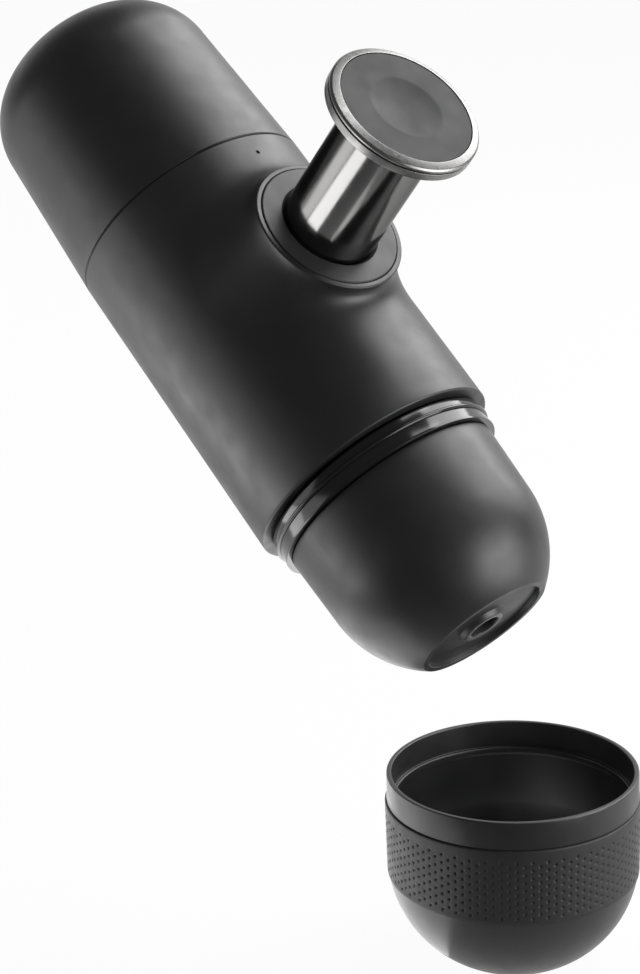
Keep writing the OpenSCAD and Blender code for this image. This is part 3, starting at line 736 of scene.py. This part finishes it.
def cup_form():
    """The bowl on its small foot, the smooth rim band and the mouth with its ledge."""
    ledge = CUP_H - LEDGE_DEPTH
    band_low = CUP_H - CUP_BAND_H
    rim_in = CUP_RIM_R - CUP_WALL + 0.1
    cy = math.sqrt(BOWL_ROUND ** 2 - (FOOT_R - 2) ** 2)
    grip_low = CUP_H - CUP_BAND_H - GRIP_H
    in_r = BOWL_ROUND - CUP_WALL
    seat_r = GRIP_R - GRIP_T
    low_angle = math.degrees(math.asin((grip_low - cy) / BOWL_ROUND))
    foot_angle = -math.degrees(math.asin(cy / BOWL_ROUND))
    floor_angle = -math.degrees(math.asin((cy - CUP_WALL) / in_r))
    chain = [(0, 0.6), (FOOT_R - 2.2, 0.6), (FOOT_R - 1.8, 0)]
    chain += rounded([(FOOT_R - 1.8, 0), (*arc(2, cy, BOWL_ROUND, foot_angle, 0, 1)[0], 0.5),
                      arc(2, cy, BOWL_ROUND, foot_angle + 3, 0, 1)[0]], 4)[1:-1]
    chain += arc(2, cy, BOWL_ROUND, foot_angle + 3, low_angle, 40)
    chain += rounded([(seat_r, grip_low), (seat_r, band_low), (CUP_RIM_R + 0.1, band_low, 0.25),
                      (CUP_RIM_R, CUP_H, 0.35), (rim_in, CUP_H, 0.35), (rim_in, ledge, 0.15),
                      (LEDGE_R, ledge, 0.4), (LEDGE_R, ledge - 1.4, 0.3),
                      (seat_r - CUP_WALL + 0.1, ledge - 2.0)], 5)
    chain += arc(2, cy, in_r, 0, floor_angle, 40)
    chain += [(0, CUP_WALL)]
    return lathe("cup_bowl", chain, CUP)


def grip_form():
    """The rubber sleeve: smooth strips at both edges and staggered columns of small dents."""
    fine = 8
    low = CUP_H - CUP_BAND_H - GRIP_H
    inner = GRIP_R - GRIP_T
    spacing = 2 * math.pi * GRIP_R / DENT_COLUMNS
    first = GRIP_H - DENT_FIRST

    def outer_at(h):
        return GRIP_R - GRIP_TAPER * (1 - h / GRIP_H)

    def dent(h, step):
        """Depth of the pattern at a height and a place round the sleeve."""
        column = round(step / fine)
        across = (step / fine - column) * spacing
        down = first - h - (DENT_PITCH / 2 if column % 2 else 0)
        row = round(down / DENT_PITCH)
        if not 0 <= row < DENTS_PER_COLUMN - (column % 2):
            return 0.0
        reach = math.hypot(across, down - row * DENT_PITCH) / DENT_R
        return DENT_DEEP * (1 - reach ** 2) if reach < 1 else 0.0

    points, faces, rings = [], [], []
    n = DENT_COLUMNS * fine
    top, bottom = first + DENT_PITCH / 2, first - (DENTS_PER_COLUMN - 0.5) * DENT_PITCH
    steps = DENTS_PER_COLUMN * fine
    heights = [bottom + (top - bottom) * i / steps for i in range(steps + 1)]
    body = [(outer_at(h), h) for h in heights]
    edge_low = rounded([(inner, 0.1), (outer_at(0) - 0.05, 0.1, 0.4), body[0]], 6)[:-1]
    lip = GRIP_H - 0.1
    edge_top = rounded([body[-1], (outer_at(lip), lip, 0.45), (inner, lip)], 5)[1:]
    for r, h in edge_low + body + edge_top:
        ring = []
        for i in range(n):
            angle = 2 * math.pi * i / n
            deep = r - (dent(h, i) if r > inner + 0.5 else 0)
            ring.append((deep * math.cos(angle), deep * math.sin(angle), low + h))
        rings.append(list(range(len(points), len(points) + n)))
        points += ring
    for a, b in zip(rings, rings[1:] + rings[:1]):
        bridge(faces, a, b)
    return new_piece("cup_sleeve", points, faces, CUP, sharp_deg=50)


dress(cup_form(), "cup", "cup_plastic", ["cup_shell"])
dress(grip_form(), "cup", "grip_rubber", ["cup_grip"])


# ---- CAD nodes that stay ----


def finish_cad_nodes():
    """Gives each CAD node that still shows the finish of its slot in the record."""
    for row in frame["record"]["subparts"]:
        node = frame["nodes"][row["node"]]
        node.data.materials.clear()
        node.data.materials.append(FINISHES[row["material_slot"]])


finish_cad_nodes()


# ---- Floor, light and camera ----

# Painted shade on the stage: towards the camera its paint and its glow in reflections darken to the last of these
# levels, standing in for a dark room.
FADE_FROM, FADE_TO, PAINTED_SHADE_LEVEL = -0.17, -0.02, 0.15
FLOOR_PAINT = 0.8
FLOOR_GLOW_SHARE = 0.96
ROOM_LEVEL = 0.15
PANEL_Z = FLOOR_Z + 0.006

# Each softbox: its place, the point it faces, the way its width runs, width, height and radiance.
# Places and sizes are metres.
SOFTBOXES = {
    "right_box": ((0.17, 0.79, 0.73), (0.02, 0.0, 0.0), (-0.46, 0.725, -0.513), 1.0, 0.85, 5.5),
    "near_box": ((0.15, 0.14, 0.46), (-0.02, 0.0, 0.05), (-0.18, 0.96, -0.20), 0.25, 0.12, 4.5),
    "cup_box": ((0.42, 0.12, 0.0), (0.06, 0.0, 0.0), (0.0, 1.0, 0.0), 0.30, 0.24, 6.5),
    "left_box": ((-0.30, -0.42, 0.02), (0.0, 0.0, -0.02), (0.8, -0.6, 0), 0.36, 0.26, 1.4),
    "floor_panel": ((-0.20, -0.28, PANEL_Z), (-0.20, -0.28, PANEL_Z + 1), (0.8, -0.6, 0), 0.32, 0.30, 4.0),
    "under_panel": ((0.015, -0.01, PANEL_Z), (0.015, -0.01, PANEL_Z + 1), (1, 0, 0), 0.13, 0.18, 1.5),
}


def stage_material():
    """Pale floor and backdrop: white to the camera and in reflections, with the object's
    shadow still in it. On the camera's side the sheet's paint and its glow in reflections
    fade to a painted shade, which stands in for a dark room."""
    made = bpy.data.materials.new("stage_white")
    made.use_nodes = True
    tree = made.node_tree
    tree.nodes.clear()
    link = tree.links.new

    def maths(operation, first, second):
        node = tree.nodes.new("ShaderNodeMath")
        node.operation = operation
        for socket, value in zip(node.inputs, (first, second)):
            if isinstance(value, float):
                socket.default_value = value
            else:
                link(value, socket)
        return node.outputs[0]

    place = tree.nodes.new("ShaderNodeTexCoord")
    along = tree.nodes.new("ShaderNodeSeparateXYZ")
    fade = tree.nodes.new("ShaderNodeMapRange")
    fade.interpolation_type = "SMOOTHSTEP"
    for socket, value in zip(fade.inputs[1:5], (FADE_FROM, FADE_TO, PAINTED_SHADE_LEVEL, 1.0)):
        socket.default_value = value
    paint = tree.nodes.new("ShaderNodeBsdfDiffuse")
    glow = tree.nodes.new("ShaderNodeEmission")
    path = tree.nodes.new("ShaderNodeLightPath")
    mix = tree.nodes.new("ShaderNodeMixShader")
    out = tree.nodes.new("ShaderNodeOutputMaterial")
    link(place.outputs["Object"], along.inputs[0])
    link(along.outputs["Y"], fade.inputs["Value"])
    shade = fade.outputs["Result"]
    link(maths("MULTIPLY", shade, FLOOR_PAINT), paint.inputs["Color"])
    seen = maths("MAXIMUM", path.outputs["Is Camera Ray"], path.outputs["Is Transmission Ray"])
    # Glossy rays see the glow at the fade's level: a painted reflection that is dark towards the camera.
    link(maths("MAXIMUM", seen, shade), glow.inputs["Strength"])
    any_ray = maths("MAXIMUM", seen, path.outputs["Is Glossy Ray"])
    link(maths("MULTIPLY", any_ray, FLOOR_GLOW_SHARE), mix.inputs["Fac"])
    link(paint.outputs[0], mix.inputs[1])
    link(glow.outputs[0], mix.inputs[2])
    link(mix.outputs[0], out.inputs["Surface"])
    return made


def make_stage():
    """A floor under the cup's foot that sweeps up behind the object. The sheet's own y axis
    points away from the camera."""
    size, far, radius, height = 3.0, 3.0, 0.8, 2.6
    away = Vector((CAMERA_FORWARD.x, CAMERA_FORWARD.y, 0)).normalized()
    sweep = [(-size, 0.0), (far - radius, 0.0)]
    sweep += [(far - radius + radius * math.sin(a), radius - radius * math.cos(a))
              for a in [math.pi / 2 * i / 12 for i in range(1, 13)]]
    sweep += [(far, height)]
    points = [(s, u, v) for u, v in sweep for s in (-4, 4)]
    faces = [(2 * i, 2 * i + 1, 2 * i + 3, 2 * i + 2) for i in range(len(sweep) - 1)]
    mesh = bpy.data.meshes.new("stage_sweep")
    mesh.from_pydata(points, [], faces)
    mesh.polygons.foreach_set("use_smooth", [True] * len(mesh.polygons))
    sheet = bpy.data.objects.new("stage_sweep", mesh)
    sheet.matrix_world = axes_at((0, 0, FLOOR_Z), away.cross((0, 0, 1)), (0, 0, 1))
    mesh.materials.append(stage_material())
    bpy.context.scene.collection.objects.link(sheet)


def softbox(name, at, aim, width_along, width, height, radiance):
    """An area light at a place, turned to a point, of even radiance."""
    data = bpy.data.lights.new(name, "AREA")
    data.shape = "RECTANGLE"
    data.size, data.size_y = width, height
    data.energy = radiance * math.pi * width * height
    lamp = bpy.data.objects.new(name, data)
    lamp.matrix_world = axes_at(at, width_along, Vector(at) - Vector(aim))
    lamp.visible_camera = False
    bpy.context.scene.collection.objects.link(lamp)


def make_light():
    """Soft studio light: one wide box above and behind at the right, a nearer one over the
    housing, a panel low at the right for the cup, one low at the left, two flat on the floor, and a
    dim even room."""
    for name, box in SOFTBOXES.items():
        softbox(name, *box)
    world = bpy.data.worlds.new("studio")
    bpy.context.scene.world = world
    world.use_nodes = True
    tree = world.node_tree
    sky = tree.nodes["Background"]
    sky.inputs["Color"].default_value = (1, 1, 1, 1)
    path = tree.nodes.new("ShaderNodeLightPath")
    level = tree.nodes.new("ShaderNodeMapRange")
    level.inputs["To Min"].default_value = ROOM_LEVEL
    level.inputs["To Max"].default_value = 1.0
    tree.links.new(path.outputs["Is Camera Ray"], level.inputs["Value"])
    tree.links.new(level.outputs["Result"], sky.inputs["Strength"])


CAMERA_FROM_SEAM = Vector((0.418327, -0.370277, 0.106033))
CAMERA_RIGHT = Vector((0.70535, 0.70823, -0.02987))
CAMERA_FORWARD = Vector((-0.68304, 0.66780, -0.29580))
FOCAL_PIXELS = 2382
IMAGE_LONG_SIDE = 974


def make_camera():
    """The photograph's viewpoint, found from the object's outlines."""
    data = bpy.data.cameras.new("camera")
    data.sensor_width = 36
    data.lens = FOCAL_PIXELS * data.sensor_width / IMAGE_LONG_SIDE
    data.clip_start, data.clip_end = 0.01, 20
    camera = bpy.data.objects.new("camera", data)
    right, back = CAMERA_RIGHT.normalized(), -CAMERA_FORWARD.normalized()
    camera.matrix_world = axes_at(MAKER.translation + CAMERA_FROM_SEAM, right, back)
    bpy.context.scene.collection.objects.link(camera)
    bpy.context.scene.camera = camera


make_camera()
make_stage()
make_light()
bpy.context.scene.view_settings.view_transform = "Standard"
